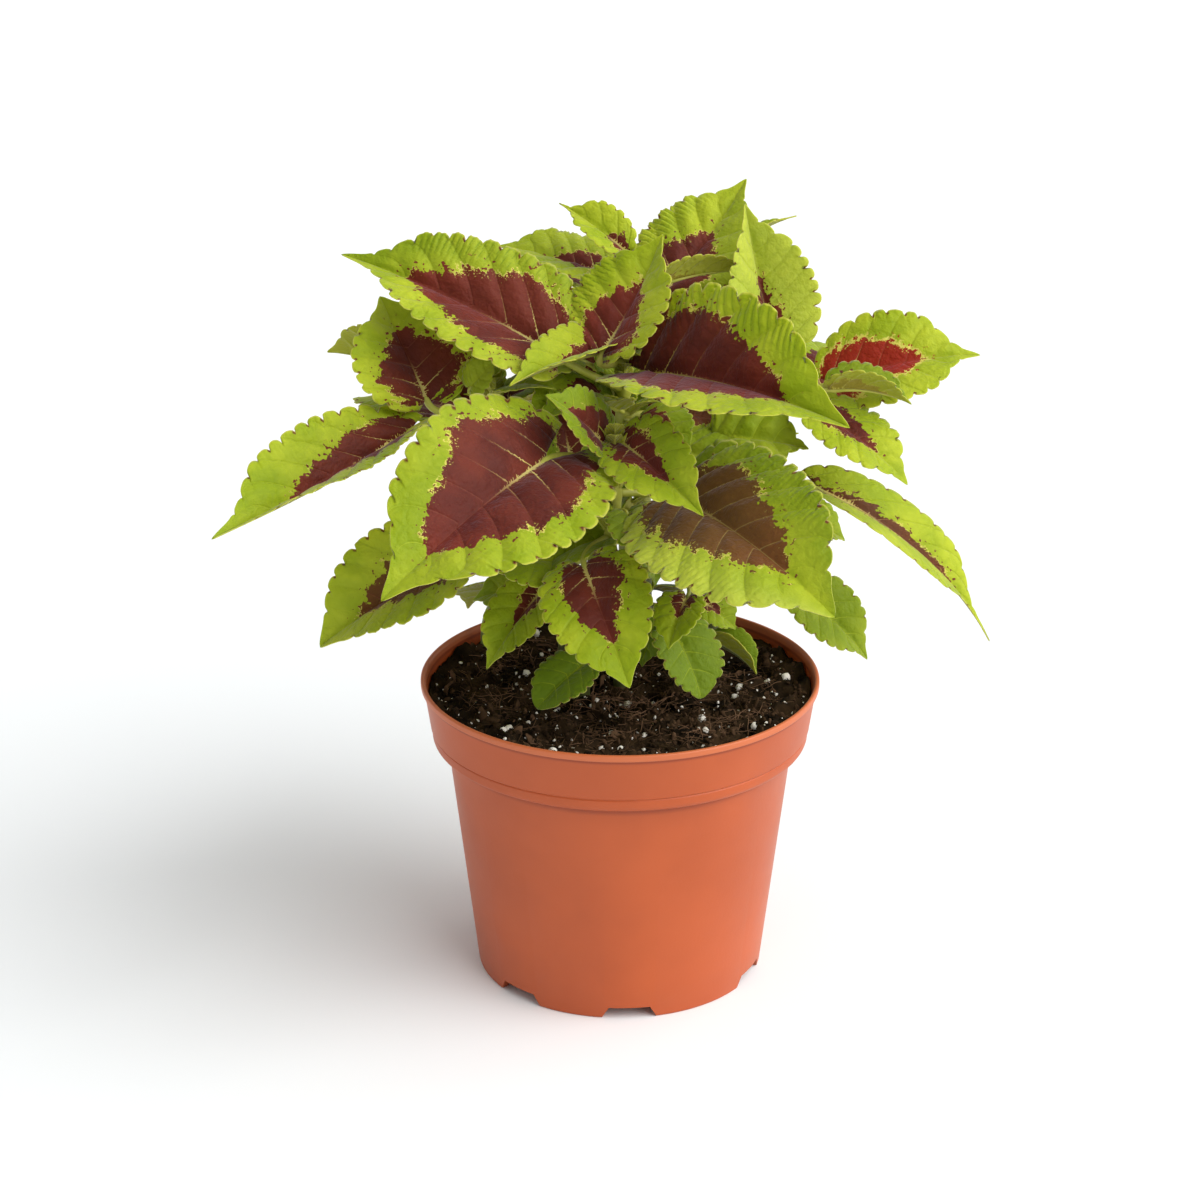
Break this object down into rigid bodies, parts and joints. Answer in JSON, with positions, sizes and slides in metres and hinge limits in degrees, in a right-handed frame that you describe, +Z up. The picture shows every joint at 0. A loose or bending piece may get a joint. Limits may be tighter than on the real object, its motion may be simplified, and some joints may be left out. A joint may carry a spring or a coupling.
{
  "type": "potted coleus",
  "caption": "Bushy coleus with toothed lime leaves and dark maroon centres, growing in a plain terracotta-coloured plastic nursery pot filled with peat.",
  "frame": {"origin": "on the pot's axis, in the plane of its foot", "axes": "+Z up out of the pot, -Y towards the front of the plant, +X to the right"},
  "size_m": [0.2423, 0.1855, 0.2523],
  "materials": {
    "pot_plastic": "satin terracotta-coloured moulded plastic",
    "peat": null,
    "foliage": null
  },
  "bodies": {
    "root": {"pot": "pot_plastic", "soil": "peat", "center_stem": "foliage", "back_stem": "foliage", "left_stem": "foliage", "right_stem": "foliage", "front_stem": "foliage"}
  },
  "joints": []
}
